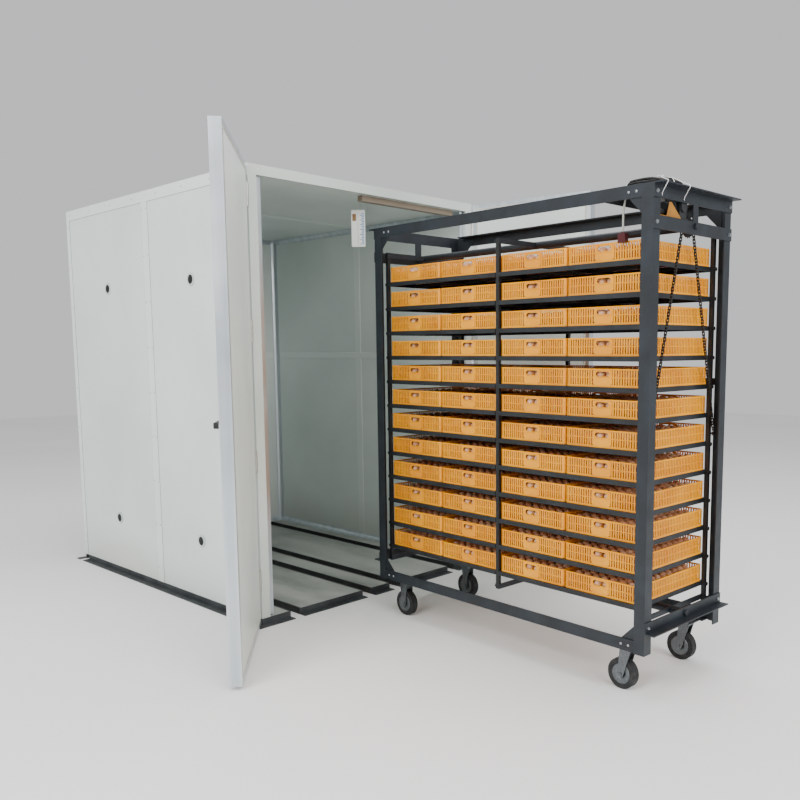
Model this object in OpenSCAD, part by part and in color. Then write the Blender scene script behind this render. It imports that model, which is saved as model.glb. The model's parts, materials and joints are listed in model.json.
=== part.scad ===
// Walk-in egg incubator: an insulated cabinet with two hinged doors, and a
// twelve-level egg trolley on casters whose shelves all tilt together.
// Origin: centre of the cabinet's footprint, on the floor. +Y runs into the cabinet.

/* [Cabinet] */
// Width of the cabinet outside
cab_w = 1620; // [1600:1:1640]
// Depth of the cabinet outside
cab_d = 2080; // [2000:10:2200]
// Height of the cabinet
cab_h = 2300; // [2280:5:2360]
// Thickness of the sandwich panels
panel = 50; // [48:1:55]
// Thickness of a sandwich panel's skin
skin = 1; // [0.8:0.1:1.5]
// Height of the base section and of the floor planks
base_h = 34; // [30:1:38]
// How far the base flange stands out
flange = 45; // [40:1:50]
// Width of a wheel channel in the floor
channel_w = 60; // [55:1:65]
// Distance between the two wheel channels of one bay
channel_gap = 500; // [490:1:510]
// Distance from the cabinet's middle to its nearest wheel channel
channel_in = 104; // [100:1:108]
// Radius of a wall vent's opening
vent_r = 25; // [20:1:26]

/* [Doors] */
// Thickness of a door
door_t = 50; // [45:1:55]
// How far the left door stands open at rest, in degrees
left_open = 129.5; // [120:0.5:140]
// How far the right door stands open at rest, in degrees
right_open = 97; // [92:0.5:105]
// Height of the door handles' spindles
handle_z = 1100; // [1000:10:1200]

/* [Trolley] */
// Outside width of the trolley frame
tr_w = 596; // [590:1:600]
// Outside length of the trolley frame
tr_l = 1646; // [1640:1:1652]
// Height of the trolley frame's top
tr_h = 2016; // [2010:1:2024]
// Place of the trolley's near left corner across the cabinet
tr_x = -335; // [-345:1:-325]
// Place of the trolley's near left corner along the cabinet
tr_y = -2963; // [-3100:1:-2950]
// Turn of the trolley on the floor, in degrees
tr_turn = -3; // [-4:0.5:0]
// Leg of the frame's angle sections
leg = 50; // [45:1:52]
// Lowest point of the corner posts
post_z = 186; // [184:1:188]

/* [Shelves] */
// Height of the top shelf's pivots
level_top = 1732.5; // [1728:0.5:1736]
// Distance from level to level
pitch = 124.5; // [123:0.5:126]
// Height of the top torque shaft
shaft_top_z = 1880; // [1876:1:1884]
// Height of the bottom torque shaft
shaft_low_z = 300; // [296:1:304]
// Half the distance between the left and the right side rods
rod_reach = 254; // [250:1:256]
// Height of an egg basket
basket_h = 75; // [70:1:76]

/* [Wheels] */
// Radius of a caster wheel
wheel_r = 65; // [60:1:66]
// Width of a caster wheel
wheel_w = 34; // [30:1:36]
// Distance of the casters from the trolley's sides
caster_x = 68; // [64:1:72]
// Distance of the swivel pivots from the trolley's near end
caster_y = 115; // [114:1:120]
// Distance of a swivel caster's wheel behind its pivot
trail = 25; // [20:1:30]

/* [Hidden] */

steel = 4;
trim = 2;
gap = 0.2;              // between neighbours that are separate solids
run_fit = 0.08;         // radial clearance of a running pin
open_fit = 0.3;         // radial clearance of a pivot that is left to float

// cabinet
hw = cab_w / 2;
hd = cab_d / 2;
in_x = hw - panel;
in_y = hd - panel;
roof_z = cab_h - panel;
frame_d = 20;           // depth of the front frame's profiles
channels = [-channel_in - channel_gap, -channel_in, channel_in, channel_in + channel_gap];
plank_edges = concat([-in_x], [for (x = channels) each [x - channel_w / 2, x + channel_w / 2]], [in_x]);
vent_ys = [-480, 495];
vent_zs = [355, 1780];
vent_rim = 11;          // width of the flange round a vent's opening
cap_h = 60;             // height of the roof cap's side
cap_lip = 40;           // how far a roof cap and a corner angle reach over
seam_w = 35;            // half the width of a seam strip

// hinges, in a frame with the hinge line at its origin and the door shut
hinge_x = hw + 8;
hinge_y = hd + 4;
hinge_zs = [2150, 1493, 846, 235];
hinge_h = 110;
knuckle_r = 6.5;
knuckle_h = 36;         // height of the moving middle knuckle
hinge_pin_r = 3.5;
leaf_t = 2.5;
wall_at = hinge_x - hw; // wall's outer face from the hinge line
door_x = 6;             // door's hinged edge from the hinge line
door_end = hinge_x - 2; // door's free edge from the hinge line
door_in = -3;           // door's inner face
door_out = door_in - door_t;
door_z0 = 18;
door_z1 = cab_h - 8;
spindle_x = door_end - 46;
spindle_r = 8;

// fan on the rear wall
fan_r = 200;
fan_z = 1650;
fan_shaft_r = 6;

// trolley, in its own frame: origin below the near left corner
mid_x = tr_w / 2;
mid_y = tr_l / 2;
wall = 5;               // wall of the frame's angles
rod_a = 16;             // side rod across the trolley
rod_b = 18;             // side rod along the trolley
rod_y = 52;             // end rods from the frame's ends
pin_r = 5;
head_r = 9;
head_t = 5;
bar_t = 4;
bar_y = rod_y + rod_b / 2 + 1;          // shelves' end bars from the frame's ends
mid_bar_y = mid_y - rod_b / 2 - 2 - bar_t;
bar_h = 20;
shelf_x = mid_x - rod_reach - 10;       // shelves' outer edge from the frame's sides
basket_x = 44;
basket_l = 371;
basket_gap = 5;
basket_y = bar_y + 2;
torque_r = 17;
pivot_r = 8;
beam_h = 50;
top_beam_z = shaft_top_z - 33;
low_beam_z = shaft_low_z - 24;
rail_z = post_z + 4;
side_stay_z = 1240;
lip = 45;               // outward lip of the end beams
sprocket_r = 38;
chain_r = 5;
chain_y = 28;
tie_z = 1033;           // chains are tied to the end rods here
deck_x0 = 165;
deck_x1 = 400;
deck_l = 270;
coil_x = 245;
coil_y = 154;
coil_r = 92;
coil_tube = 26;
axle_r = 6;
fork_x = 19;            // inner face of a fork leg from the wheel's middle
race_z = 172;
far_wheel_y = tr_l - 140;

// The switch lead hangs from under the left top rail to its plug.
lead_r = 4;
plug_y = 148;
plug_z = 1850;          // top of the plug's boss
lead_points = [[24, 134, 2011], [24, 134, 1998], [24, 136, 1984], [24, 139, 1970], [24, 142, 1955],
    [24, 145, 1940], [24, 147, 1925], [24, plug_y, 1911], [24, plug_y, 1896], [24, plug_y, 1881],
    [24, plug_y, 1866], [24, plug_y, plug_z]];

function level_z(i) = level_top - pitch * (i - 1);

// ---------- helpers ----------

module block(x0, x1, y0, y1, z0, z1) {
    translate([x0, y0, z0]) cube([x1 - x0, y1 - y0, z1 - z0]);
}

// block with a sealed hollow, as two skins and their edge profiles make
module skinned(x0, x1, y0, y1, z0, z1) {
    difference() {
        block(x0, x1, y0, y1, z0, z1);
        block(x0 + skin, x1 - skin, y0 + skin, y1 - skin, z0 + skin, z1 - skin);
    }
}

module round_y(x, z, r, y0, y1, fn = 48) {
    translate([x, y0, z]) rotate([-90, 0, 0]) cylinder(r = r, h = y1 - y0, $fn = fn);
}

module round_x(y, z, r, x0, x1, fn = 48) {
    translate([x0, y, z]) rotate([0, 90, 0]) cylinder(r = r, h = x1 - x0, $fn = fn);
}

module both_x() {
    children();
    mirror([1, 0, 0]) children();
}

module on_trolley() {
    translate([tr_x, tr_y, 0]) rotate([0, 0, tr_turn]) children();
}

// the children, and their mirror image across the trolley
module both_sides() {
    children();
    translate([tr_w, 0, 0]) mirror([1, 0, 0]) children();
}

// the children, and their mirror image along the trolley
module both_ends() {
    children();
    translate([0, tr_l, 0]) mirror([0, 1, 0]) children();
}

// plate standing across X, drawn by its outline in Y and Z
module plate_x(x0, x1, outline) {
    translate([x0, 0, 0]) rotate([90, 0, 90]) linear_extrude(x1 - x0) polygon(outline);
}

// round tube along a route: rings of eight points, joined in order
function unit(v) = v / norm(v);
function heading(pts, i) = unit(pts[min(i + 1, len(pts) - 1)] - pts[max(i - 1, 0)]);
function ring(c, t, r) = let (u = unit(cross(t, [1, 0, 0])), v = cross(t, u))
    [for (k = [0:7]) c + r * cos(45 * k) * u + r * sin(45 * k) * v];

module tube(pts, r) {
    n = len(pts);
    polyhedron(
        points = [for (i = [0:n - 1]) each ring(pts[i], heading(pts, i), r)],
        faces = concat([[for (k = [0:7]) k]], [[for (k = [7:-1:0]) 8 * (n - 1) + k]],
            [for (i = [0:n - 2], k = [0:7])
                [8 * i + k, 8 * (i + 1) + k, 8 * (i + 1) + (k + 1) % 8, 8 * i + (k + 1) % 8]]));
}

// ---------- cabinet ----------

// downward channel under a wall with its outer flange; outer face at X = 0
module base_run(y0, y1, flange_over = 0) {
    difference() {
        block(0, panel, y0, y1, 0, base_h);
        block(steel, panel - steel, y0 - 1, y1 + 1, -1, base_h - steel);
    }
    block(-flange, 0, y0 - flange_over, y1 + flange_over, 0, steel);
    block(-1, 1, y0, y1, 0, steel);
}

module base_frame() {
    color([0.20, 0.21, 0.21]) {
        both_x() translate([-hw, 0, 0]) base_run(-hd + steel + gap, in_y - gap);
        translate([0, hd, 0]) rotate([0, 0, -90]) base_run(-hw, hw, flange);
        // front angle, open at each wheel channel
        for (i = [0:4]) {
            x0 = i == 0 ? -hw - flange : plank_edges[2 * i];
            x1 = i == 4 ? hw + flange : plank_edges[2 * i + 1];
            block(x0, x1, -hd - flange, -hd + steel, 0, steel);
            block(max(x0, -hw), min(x1, hw), -hd, -hd + steel, 0, base_h);
        }
    }
}

module floor_planks() {
    color([0.62, 0.64, 0.62])
        for (i = [0:4])
            skinned(plank_edges[2 * i], plank_edges[2 * i + 1], -hd + steel, in_y, 0, base_h);
}

module side_wall_panels() {
    color([0.66, 0.69, 0.66])
        both_x() for (y = [[-hd + frame_d, -gap / 2], [gap / 2, hd]])
            skinned(-hw, -in_x, y[0], y[1], base_h, roof_z);
}

module rear_wall_panels() {
    color([0.60, 0.63, 0.60])
        both_x() skinned(-in_x, -gap / 2, in_y, hd, base_h, roof_z);
}

module roof_panels() {
    color([0.70, 0.73, 0.70])
        for (y = [[-hd + frame_d, -gap / 2], [gap / 2, hd]])
            skinned(-hw, hw, y[0], y[1], roof_z, cab_h - trim);
}

// sheet angle along the roof's edge; outer face at X = -trim
module roof_cap(y0, y1, lip0, lip1) {
    block(-trim, 0, y0, y1, cab_h - cap_h, cab_h);
    block(-trim, cap_lip, lip0, lip1, cab_h - trim, cab_h);
}

module outer_trims() {
    top = cab_h - cap_h - gap;
    color([0.74, 0.77, 0.74]) {
        both_x() {
            translate([-hw, 0, 0]) roof_cap(-hd, hd + trim, -hd + frame_d, hd + trim);
            block(-hw - trim, -hw, -seam_w, seam_w, base_h, top);
            block(-hw - trim, -hw, hd - cap_lip, hd + trim, base_h, top);
            block(-hw - trim, -hw + cap_lip, hd, hd + trim, base_h, top);
        }
        rear_x = hw - cap_lip - gap;
        translate([0, hd, 0]) rotate([0, 0, -90]) roof_cap(-hw + gap, hw - gap, -rear_x, rear_x);
        block(-seam_w, seam_w, hd, hd + trim, base_h, top);
    }
}

// closed vents on the side walls, and the cable trunking under the ceiling
module plastic_fittings() {
    color([0.45, 0.45, 0.42]) {
        both_x() for (y = vent_ys, z = vent_zs)
            difference() {
                round_x(y, z, vent_r + vent_rim, -hw - 6, -hw);
                round_x(y, z, vent_r, -hw - 7, -hw - 2);
            }
        block(-43, 688, -hd + 45, -hd + 85, roof_z - 30, roof_z);
    }
}

module front_frame() {
    color([0.70, 0.73, 0.70]) {
        block(-hw, hw, -hd, -hd + frame_d, roof_z, cab_h);
        both_x() block(-hw, -in_x, -hd, -hd + frame_d, base_h, roof_z - gap);
    }
}

// flat card on a wire hook, turned a little towards the opening's left side
module thermometer_card() {
    color([0.88, 0.88, 0.84])
        translate([57, -840, 0]) rotate([0, 0, -42]) {
            block(-39, 39, -3, 3, 1992, 2199);
            translate([0, 0, 2198]) cylinder(r = 1.5, h = roof_z - 2198, $fn = 16);
        }
}

// one fixed leaf with its two knuckles and the pin
module fixed_leaf() {
    side_h = (hinge_h - knuckle_h) / 2;
    block(wall_at - leaf_t, wall_at, 9, 49, -hinge_h / 2, hinge_h / 2);
    for (z = [-hinge_h / 2, knuckle_h / 2 + 0.5]) {
        translate([0, 0, z]) cylinder(r = knuckle_r, h = side_h - 0.5, $fn = 48);
        block(3, wall_at, 0, 10, z, z + side_h - 0.5);
    }
    translate([0, 0, -hinge_h / 2 - 3]) cylinder(r = hinge_pin_r, h = hinge_h + 6, $fn = 48);
}

module moving_leaf() {
    difference() {
        union() {
            block(door_x - leaf_t, door_x, -45, -9, -hinge_h / 2, hinge_h / 2);
            block(1, door_x, -10, 0, -knuckle_h / 2, knuckle_h / 2);
            translate([0, 0, -knuckle_h / 2]) cylinder(r = knuckle_r, h = knuckle_h, $fn = 48);
        }
        translate([0, 0, -knuckle_h]) cylinder(r = hinge_pin_r + run_fit, h = 2 * knuckle_h, $fn = 48);
    }
}

module frame_hinge_leaves() {
    color([0.62, 0.63, 0.62])
        both_x() for (z = hinge_zs) translate([-hinge_x, -hinge_y, z]) fixed_leaf();
}

// ---------- doors ----------

module at_left_hinge() {
    translate([-hinge_x, -hinge_y, 0]) rotate([0, 0, -left_open]) children();
}

module at_right_hinge() {
    translate([hinge_x, -hinge_y, 0]) rotate([0, 0, right_open]) mirror([1, 0, 0]) children();
}

module door() {
    difference() {
        union() {
            skinned(door_x, door_end, door_out, door_in, door_z0, door_z1);
            intersection() {
                block(door_x, door_end, door_out - 6, door_in, door_z0, door_z1);
                round_y(spindle_x, handle_z, 26, door_out - 6, door_out + 14);
            }
        }
        round_y(spindle_x, handle_z, spindle_r + run_fit, door_out - 7, door_out + 12);
    }
}

module hinge_leaves() {
    for (z = hinge_zs) translate([0, 0, z]) moving_leaf();
}

module latch() {
    round_y(spindle_x, handle_z, spindle_r, door_out - 30, door_out + 10);
    round_y(spindle_x, handle_z, 13, door_out - 30, door_out - 6.5);
    block(spindle_x - 118, spindle_x, door_out - 30, door_out - 18, handle_z - 11, handle_z + 11);
}

module left_door() { color([0.72, 0.74, 0.72]) at_left_hinge() door(); }
module left_hinge_leaves() { color([0.62, 0.63, 0.62]) at_left_hinge() hinge_leaves(); }
module left_latch() { color([0.30, 0.31, 0.32]) at_left_hinge() latch(); }
module right_door() { color([0.72, 0.74, 0.72]) at_right_hinge() door(); }
module right_hinge_leaves() { color([0.62, 0.63, 0.62]) at_right_hinge() hinge_leaves(); }
module right_latch() { color([0.30, 0.31, 0.32]) at_right_hinge() latch(); }

// ---------- fan ----------

module fan_housing() {
    color([0.35, 0.36, 0.37]) {
        difference() {
            round_y(0, fan_z, fan_r + 15, in_y - 90, in_y, 96);
            round_y(0, fan_z, fan_r + 5, in_y - 91, in_y + 1, 96);
        }
        for (bar = [[30, 3], [120, 12]])
            translate([0, in_y - 24, fan_z]) rotate([0, bar[0], 0])
                block(-fan_r - 10, fan_r + 10, 0, bar[1], -12, 12);
        round_y(0, fan_z, 45, in_y - 52, in_y - 5);
        round_y(0, fan_z, fan_shaft_r, in_y - 86, in_y - 50);
    }
}

module fan_blades() {
    color([0.55, 0.57, 0.58]) difference() {
        union() {
            round_y(0, fan_z, 38, in_y - 82, in_y - 56);
            for (i = [0:4])
                translate([0, in_y - 69, fan_z]) rotate([0, 72 * i, 0])
                    translate([0, 0, 112]) rotate([0, 0, 24]) block(-34, 34, -1.5, 1.5, -80, 80);
        }
        round_y(0, fan_z, fan_shaft_r + run_fit, in_y - 90, in_y - 50);
    }
}

// ---------- trolley frame ----------

module trolley_posts() {
    color([0.16, 0.20, 0.24]) on_trolley() both_sides() both_ends() difference() {
        block(0, leg, 0, leg, post_z, tr_h);
        block(wall, leg + 1, wall, leg + 1, post_z - 1, tr_h + 1);
    }
}

// long rail with its flange at the given height, and a gusset at each end
module long_rail(z, flange_z, gusset_z, drop) {
    block(0, wall, leg + gap, tr_l - leg - gap, z, z + beam_h);
    block(0, leg, leg + gap, tr_l - leg - gap, flange_z, flange_z + wall);
    both_ends() plate_x(wall, wall + 4, [[leg - 12, gusset_z], [leg + 80, gusset_z],
        [leg - 12, gusset_z + drop]]);
}

// beams across one end with the bearing of a torque shaft
module top_end() {
    difference() {
        union() {
            block(0, tr_w, -wall, 0, tr_h - beam_h - 4, tr_h);
            block(0, tr_w, -lip, 0, tr_h - wall, tr_h);
            block(0, tr_w, -wall, 0, top_beam_z, top_beam_z + beam_h);
            block(mid_x - 17, mid_x + 23, -wall, 0, top_beam_z, tr_h - 10);
        }
        round_y(mid_x, shaft_top_z, pivot_r + run_fit, -lip, 1);
    }
}

module low_end() {
    difference() {
        union() {
            block(0, tr_w, -wall, 0, low_beam_z, low_beam_z + beam_h - 3);
            block(0, tr_w, -lip, 0, low_beam_z, low_beam_z + wall);
        }
        round_y(mid_x, shaft_low_z, pivot_r + run_fit, -lip, 1);
    }
}

module trolley_bars() {
    color([0.16, 0.20, 0.24]) on_trolley() {
        both_sides() {
            long_rail(tr_h - beam_h, tr_h - wall, tr_h - beam_h + 20, -92);
            long_rail(rail_z, rail_z, rail_z + beam_h - 20, 92);
            // top plate of a swivel caster
            difference() {
                block(20, 112, caster_y - 45, caster_y + 45, rail_z - 4 - gap, rail_z - gap);
                translate([caster_x, caster_y, rail_z - 10]) cylinder(r = pivot_r + run_fit, h = 20, $fn = 48);
            }
        }
        both_ends() {
            top_end();
            low_end();
        }
        // deck under the coiled cable, with its stiffener
        block(deck_x0, deck_x1, gap, deck_l, tr_h - wall, tr_h);
        block(leg + gap, tr_w - leg - gap, deck_l, deck_l + wall, tr_h - 35, tr_h);
        // stay between the right-hand posts
        block(tr_w - wall, tr_w, leg + gap, tr_l - leg - gap, side_stay_z, side_stay_z + 30);
    }
}

module drive_motor() {
    color([0.35, 0.30, 0.22]) on_trolley() {
        block(112, 256, 3, 58, 1900, 1903);
        block(168, 171, 8, 40, 1903, tr_h - wall);
        round_x(33, 1934, 24, 114, 168);
        block(200, 252, 8, 57, 1903, 1985);
        block(171, 200, 20, 46, 1915, 1975);
        round_y(226, 1950, 22, 2, 8);
    }
}

// torque shaft with an arm and pins at each set of rods
module rocker(z) {
    round_y(mid_x, z, torque_r, 10, tr_l - 10);
    both_ends() {
        round_y(mid_x, z, pivot_r, -wall - 10, 12);
        round_y(mid_x, z, 13, -wall - 10, -wall - 1, 6);
        block(mid_x - rod_reach - 12, mid_x + rod_reach + 12, bar_y, bar_y + bar_t, z - 12, z + 12);
        both_sides() end_pin(z);
    }
    block(mid_x - rod_reach - 12, mid_x + rod_reach + 12, mid_bar_y, mid_bar_y + bar_t, z - 12, z + 12);
    both_sides() {
        round_y(mid_x - rod_reach, z, pin_r, mid_bar_y, mid_y + rod_b / 2 + 2 + head_t);
        round_y(mid_x - rod_reach, z, head_r, mid_y + rod_b / 2 + 2, mid_y + rod_b / 2 + 2 + head_t, 6);
    }
}

// pin with its head, from an end bar out through the end rod
module end_pin(z) {
    head_y = rod_y - rod_b / 2 - 2 - head_t;
    round_y(mid_x - rod_reach, z, pin_r, head_y, bar_y + bar_t);
    round_y(mid_x - rod_reach, z, head_r, head_y, head_y + head_t, 6);
}

module rocker_top() {
    color([0.17, 0.21, 0.25]) on_trolley() {
        rocker(shaft_top_z);
        round_y(mid_x, shaft_top_z, sprocket_r, chain_y - 6, chain_y + 6, 64);
    }
}

module rocker_bottom() {
    color([0.17, 0.21, 0.25]) on_trolley() rocker(shaft_low_z);
}

// three upright side rods with a hole for each level and each torque shaft
module rods(fit) {
    x = mid_x - rod_reach;
    for (y = [rod_y, mid_y, tr_l - rod_y])
        difference() {
            block(x - rod_a / 2, x + rod_a / 2, y - rod_b / 2, y + rod_b / 2,
                shaft_low_z - 14, shaft_top_z + 14);
            for (i = [1:12]) round_y(x, level_z(i), pin_r + fit, y - rod_b, y + rod_b, 32);
            round_y(x, shaft_top_z, pin_r + run_fit, y - rod_b, y + rod_b, 32);
            round_y(x, shaft_low_z, pin_r + open_fit, y - rod_b, y + rod_b, 32);
        }
    // eye for the drive chain
    round_y(x, tie_z, 4, chain_y, rod_y - rod_b / 2 + 1);
    block(x - 7, x + 7, chain_y - 4, chain_y + 4, tie_z - 8, tie_z + 8);
}

module rods_left() {
    color([0.10, 0.11, 0.12]) on_trolley() rods(run_fit);
}

module rods_right() {
    color([0.10, 0.11, 0.12]) on_trolley() translate([tr_w, 0, 0]) mirror([1, 0, 0]) rods(open_fit);
}

module drive_chains() {
    top = [mid_x - sprocket_r - chain_r - 1, shaft_top_z];
    end = [mid_x - rod_reach, tie_z + 14];
    run = top - end;
    color([0.08, 0.08, 0.08]) on_trolley() both_sides()
        translate([end[0], chain_y, end[1]]) rotate([0, atan2(run[0], run[1]), 0])
            cylinder(r = chain_r, h = norm(run), $fn = 24);
}

// ---------- casters ----------

// fork with its swivel stem at the origin and its axle behind it
module fork(axle_y, stem) {
    translate([0, 0, race_z]) cylinder(r = 24, h = rail_z - 4 - race_z - 2 * gap, $fn = 48);
    if (stem) {
        translate([0, 0, race_z]) cylinder(r = pivot_r, h = rail_z + 6 - race_z, $fn = 48);
        translate([0, 0, rail_z + gap]) cylinder(r = 12, h = 6, $fn = 48);
    }
    block(-fork_x - steel, fork_x + steel, -22, 30, race_z - 5, race_z + 1);
    for (x = [-fork_x - steel, fork_x])
        plate_x(x, x + steel, [[-22, race_z], [30, race_z], [axle_y + 14, wheel_r - 6],
            [axle_y + 8, wheel_r - 14], [axle_y - 8, wheel_r - 14], [axle_y - 14, wheel_r - 6]]);
    round_x(axle_y, wheel_r, axle_r, -fork_x - steel - 4, fork_x + steel + 4);
}

module wheel() {
    difference() {
        union() {
            round_x(0, 0, wheel_r, -wheel_w / 2, wheel_w / 2, 96);
            round_x(0, 0, 16, -fork_x + 0.5, fork_x - 0.5);
        }
        round_x(0, 0, axle_r + run_fit, -fork_x, fork_x);
    }
}

module fork_near_left() {
    color([0.25, 0.26, 0.27]) on_trolley() translate([caster_x, caster_y, 0]) fork(trail, true);
}

module fork_near_right() {
    color([0.25, 0.26, 0.27]) on_trolley() translate([tr_w - caster_x, caster_y, 0]) fork(trail, true);
}

module forks_far() {
    color([0.25, 0.26, 0.27]) on_trolley() both_sides() translate([caster_x, far_wheel_y, 0]) {
        fork(0, false);
        block(-48, 44, -45, 45, rail_z - 4 - 2 * gap, rail_z - gap);
    }
}

module wheel_at(x, y) {
    color([0.10, 0.10, 0.10]) on_trolley() translate([x, y, wheel_r]) wheel();
}

module wheel_near_left() { wheel_at(caster_x, caster_y + trail); }
module wheel_near_right() { wheel_at(tr_w - caster_x, caster_y + trail); }
module wheel_far_left() { wheel_at(caster_x, far_wheel_y); }
module wheel_far_right() { wheel_at(tr_w - caster_x, far_wheel_y); }

// ---------- cable, lead and plug ----------

module cable_coil() {
    color([0.06, 0.06, 0.06]) on_trolley() translate([coil_x, coil_y, tr_h + coil_tube])
        rotate_extrude($fn = 96) translate([coil_r, 0]) circle(r = coil_tube, $fn = 32);
}

module switch_lead() {
    color([0.60, 0.60, 0.56]) on_trolley() tube(lead_points, lead_r);
}

module switch_plug() {
    color([0.40, 0.12, 0.10]) on_trolley() translate([24, plug_y, plug_z]) {
        translate([0, 0, -6]) cylinder(r = 6, h = 6, $fn = 32);
        block(-11, 11, -17, 17, -42, -6);
    }
}

// ---------- shelves and baskets ----------

module shelf(i) {
    z = level_z(i);
    low = z - bar_h / 2;
    top = z + bar_h / 2;
    end_y = mid_bar_y + bar_t;
    seam_y = basket_y + basket_l;
    color([0.20, 0.20, 0.22]) on_trolley() {
        both_ends() {
            both_sides() {
                block(shelf_x, shelf_x + 3, bar_y, end_y, low, top);
                block(shelf_x, shelf_x + bar_h, bar_y, end_y, top - 3, top);
                end_pin(z);
            }
            for (y = [bar_y, mid_bar_y]) block(shelf_x, tr_w - shelf_x, y, y + bar_t, low, top);
            block(shelf_x, tr_w - shelf_x, seam_y, seam_y + bar_t, low, top - 3);
        }
        for (x = [mid_x - 90, mid_x + 90])
            block(x - 2, x + 2, bar_y, tr_l - bar_y, low, top - 3);
        both_sides() round_y(mid_x - rod_reach, z, pin_r, mid_bar_y, tr_l - mid_bar_y);
    }
}

// one basket with its eggs as a block with a sealed hollow, so that its weight is right
module basket(y, z) {
    side = 20;
    lid = 9.5;
    difference() {
        block(basket_x, tr_w - basket_x, y, y + basket_l, z, z + basket_h);
        block(basket_x + side, tr_w - basket_x - side, y + side, y + basket_l - side,
            z + lid, z + basket_h - lid);
    }
}

module baskets(i) {
    color([0.93, 0.62, 0.13]) on_trolley() both_ends() for (j = [0, 1])
        basket(basket_y + j * (basket_l + basket_gap), level_z(i) + bar_h / 2);
}

base_frame();
floor_planks();
side_wall_panels();
rear_wall_panels();
roof_panels();
outer_trims();
plastic_fittings();
front_frame();
thermometer_card();
frame_hinge_leaves();
fan_housing();
fan_blades();
left_door();
left_hinge_leaves();
left_latch();
right_door();
right_hinge_leaves();
right_latch();
trolley_posts();
trolley_bars();
drive_motor();
rocker_top();
rocker_bottom();
rods_left();
rods_right();
drive_chains();
fork_near_left();
fork_near_right();
forks_far();
wheel_near_left();
wheel_near_right();
wheel_far_left();
wheel_far_right();
cable_coil();
switch_lead();
switch_plug();
for (i = [1:12]) {
    number = str(i < 10 ? "0" : "", i);
    shelf(i);
    baskets(i);
}
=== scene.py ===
"""Looks of a walk-in egg incubator: sandwich-panel cabinet, two doors and a tilting egg trolley.

The CAD nodes give every size and place. New pieces are numpy surfaces laid on them.
Lengths inside the small shape functions are in metres; MM turns millimetres into metres.
"""
import json
import math

import bpy
import numpy as np
from mathutils import Matrix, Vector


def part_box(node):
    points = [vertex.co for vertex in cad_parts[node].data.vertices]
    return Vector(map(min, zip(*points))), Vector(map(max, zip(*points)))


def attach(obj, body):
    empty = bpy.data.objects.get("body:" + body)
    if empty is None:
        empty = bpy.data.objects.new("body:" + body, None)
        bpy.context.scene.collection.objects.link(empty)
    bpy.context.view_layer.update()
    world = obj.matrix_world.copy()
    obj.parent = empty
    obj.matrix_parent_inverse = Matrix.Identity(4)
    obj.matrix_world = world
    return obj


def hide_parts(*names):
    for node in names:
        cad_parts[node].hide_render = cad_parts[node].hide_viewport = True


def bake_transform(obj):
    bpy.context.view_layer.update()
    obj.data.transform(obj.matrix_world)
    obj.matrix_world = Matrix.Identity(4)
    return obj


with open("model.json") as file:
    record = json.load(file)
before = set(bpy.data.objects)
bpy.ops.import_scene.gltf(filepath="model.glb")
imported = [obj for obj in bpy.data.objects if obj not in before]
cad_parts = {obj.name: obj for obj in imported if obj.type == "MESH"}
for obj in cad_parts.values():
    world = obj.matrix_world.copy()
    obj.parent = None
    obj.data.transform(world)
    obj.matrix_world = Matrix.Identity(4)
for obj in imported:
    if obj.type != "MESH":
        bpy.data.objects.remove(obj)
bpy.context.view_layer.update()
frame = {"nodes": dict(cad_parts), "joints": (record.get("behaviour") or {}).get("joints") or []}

MM = 0.001
UP = np.array([0.0, 0.0, 1.0])
random = np.random.default_rng(7)
joints = {joint["name"]: joint for joint in frame["joints"]}


# ---------- places, read from the frame ----------

class Place:
    """An origin and three axes: a point (a, b, c) lies at origin + a x + b y + c z."""

    def __init__(self, origin, x, y, z=UP):
        self.origin = np.array(origin, float)
        self.axes = np.array([x, y, z], float)

    def row(self, points):
        """Points given along the axes, as points of the frame."""
        return self.origin + np.asarray(points, float) @ self.axes

    def span(self, node, axis):
        """Lowest and highest coordinate of a CAD node along one of the axes."""
        along = (corners_of(node) - self.origin) @ self.axes[axis]
        return along.min(), along.max()


def corners_of(node):
    """All the corners of a CAD node's mesh, in metres."""
    mesh = frame["nodes"][node].data
    points = np.zeros(3 * len(mesh.vertices), np.float32)
    mesh.vertices.foreach_get("co", points)
    return points.reshape(-1, 3).astype(float)


def door_place(side, hand):
    """Origin on the hinge line, x along the door, y through it from outside to inside."""
    outward = np.array(joints[f"latch_{side}_turn"]["axis"], float)
    along = np.cross(outward, UP) * -hand
    x, y, _ = joints[f"door_{side}_swing"]["pos_m"]
    return Place((x, y, 0), along, -outward)


roll_axis = np.array(joints["trolley_roll"]["axis"], float)
tilt_x, tilt_y, shaft_z = joints["tilt"]["pos_m"]
trolley = Place((tilt_x, tilt_y, 0), np.cross(roll_axis, UP), roll_axis)
trolley.origin = trolley.row([trolley.span("trolley_posts", 0)[0], trolley.span("trolley_posts", 1)[0], 0])
tr_w = trolley.span("trolley_posts", 0)[1]
tr_l = trolley.span("trolley_posts", 1)[1]
left_door = door_place("left", 1)
right_door = door_place("right", -1)

# The cabinet's faces: the chamber's inside, the outer skins, and the thin trims laid on them.
inner_x, inner_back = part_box("rear_wall_panels")[1].x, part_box("rear_wall_panels")[0].y
inner_front, floor_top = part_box("side_wall_panels")[0].y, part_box("floor_planks")[1].z
ceiling_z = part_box("roof_panels")[0].z
skin_x, skin_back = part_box("side_wall_panels")[1].x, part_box("side_wall_panels")[1].y
trim_x, trim_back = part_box("outer_trims")[1].x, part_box("outer_trims")[1].y


# ---------- surfaces ----------
# A part is (points, [arrays of faces]); all the faces of one array have the same number of corners.

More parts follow.
